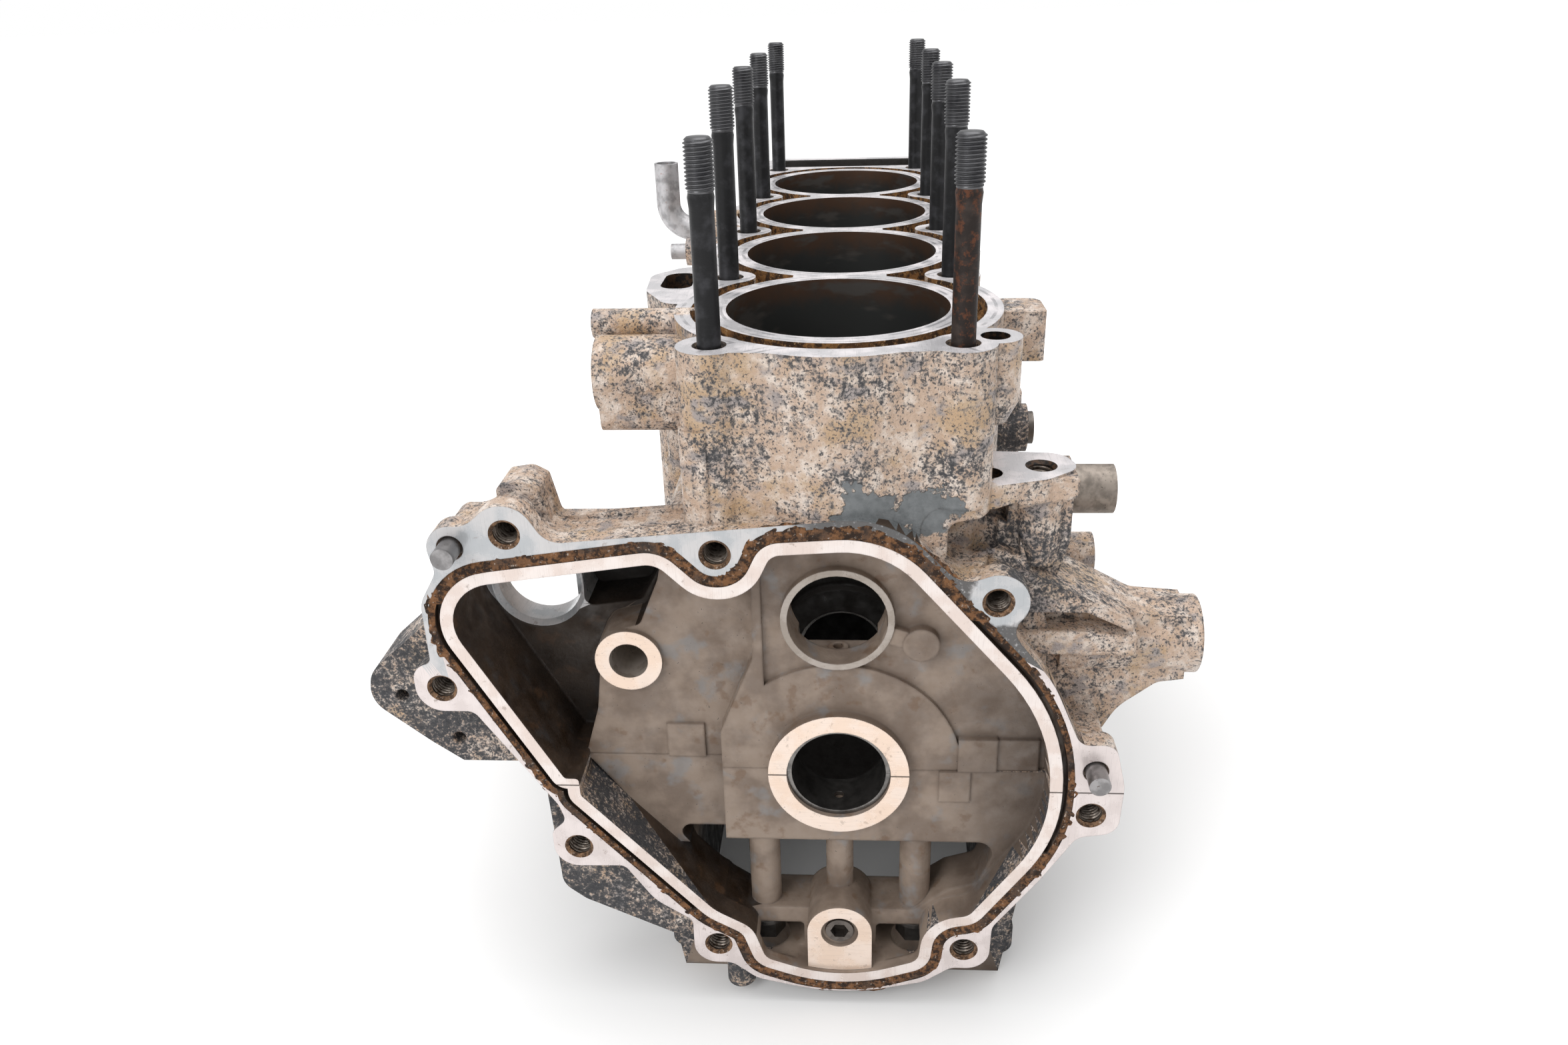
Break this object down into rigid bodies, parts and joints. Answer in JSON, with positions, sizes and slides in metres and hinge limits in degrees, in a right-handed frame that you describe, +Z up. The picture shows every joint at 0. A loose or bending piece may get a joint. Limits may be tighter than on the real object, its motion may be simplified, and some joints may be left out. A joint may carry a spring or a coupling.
{
  "type": "engine block",
  "caption": "Open-deck inline engine block: upper and lower crankcase bolted at the crank line, with head studs, bearing shells, front cover flange and an engine mount arm.",
  "frame": {"origin": "on the crank axis, in the plane of the front cover flange's sealing face", "axes": "+X to the right of someone who faces that flange, +Y to the rear along the crank, +Z up along the cylinders"},
  "size_m": [0.3194, 0.45, 0.356],
  "materials": {
    "upper_casting": "as-cast aluminium, oxidised and dusty, with machined faces",
    "lower_casting": "as-cast aluminium, oxidised and dusty, with machined faces",
    "stud_steel": "black oxide steel with worn thread crests",
    "bearing_metal": "tin-aluminium bearing lining, wiped with oil",
    "bolt_steel": "dark plated steel",
    "dowel_steel": "ground steel",
    "plug_steel": "zinc plated steel, dulled by oil",
    "pipe_steel": "plated steel, whitish with corrosion"
  },
  "bodies": {
    "root": {"upper_crankcase": "upper_casting", "lower_crankcase": "lower_casting", "head_stud_left_1": "stud_steel", "head_stud_left_2": "stud_steel", "head_stud_left_3": "stud_steel", "head_stud_left_4": "stud_steel", "head_stud_left_5": "stud_steel", "head_stud_right_1": "stud_steel", "head_stud_right_2": "stud_steel", "head_stud_right_3": "stud_steel", "head_stud_right_4": "stud_steel", "head_stud_right_5": "stud_steel", "main_shell_upper_1": "bearing_metal", "main_shell_upper_2": "bearing_metal", "main_shell_upper_3": "bearing_metal", "main_shell_upper_4": "bearing_metal", "main_shell_upper_5": "bearing_metal", "main_shell_lower_1": "bearing_metal", "main_shell_lower_2": "bearing_metal", "main_shell_lower_3": "bearing_metal", "main_shell_lower_4": "bearing_metal", "main_shell_lower_5": "bearing_metal", "main_bolt_left_1": "bolt_steel", "main_bolt_left_2": "bolt_steel", "main_bolt_left_3": "bolt_steel", "main_bolt_left_4": "bolt_steel", "main_bolt_left_5": "bolt_steel", "main_bolt_right_1": "bolt_steel", "main_bolt_right_2": "bolt_steel", "main_bolt_right_3": "bolt_steel", "main_bolt_right_4": "bolt_steel", "main_bolt_right_5": "bolt_steel", "case_bolt_left_1": "bolt_steel", "case_bolt_left_2": "bolt_steel", "case_bolt_left_3": "bolt_steel", "case_bolt_left_4": "bolt_steel", "case_bolt_right_1": "bolt_steel", "case_bolt_right_2": "bolt_steel", "case_bolt_right_3": "bolt_steel", "case_bolt_right_4": "bolt_steel", "flange_dowel_left": "dowel_steel", "flange_dowel_right": "dowel_steel", "gallery_plug": "plug_steel", "side_gallery_plug": "plug_steel", "coolant_union": "pipe_steel", "coolant_elbow": "pipe_steel", "vent_stub": "pipe_steel"}
  },
  "joints": []
}
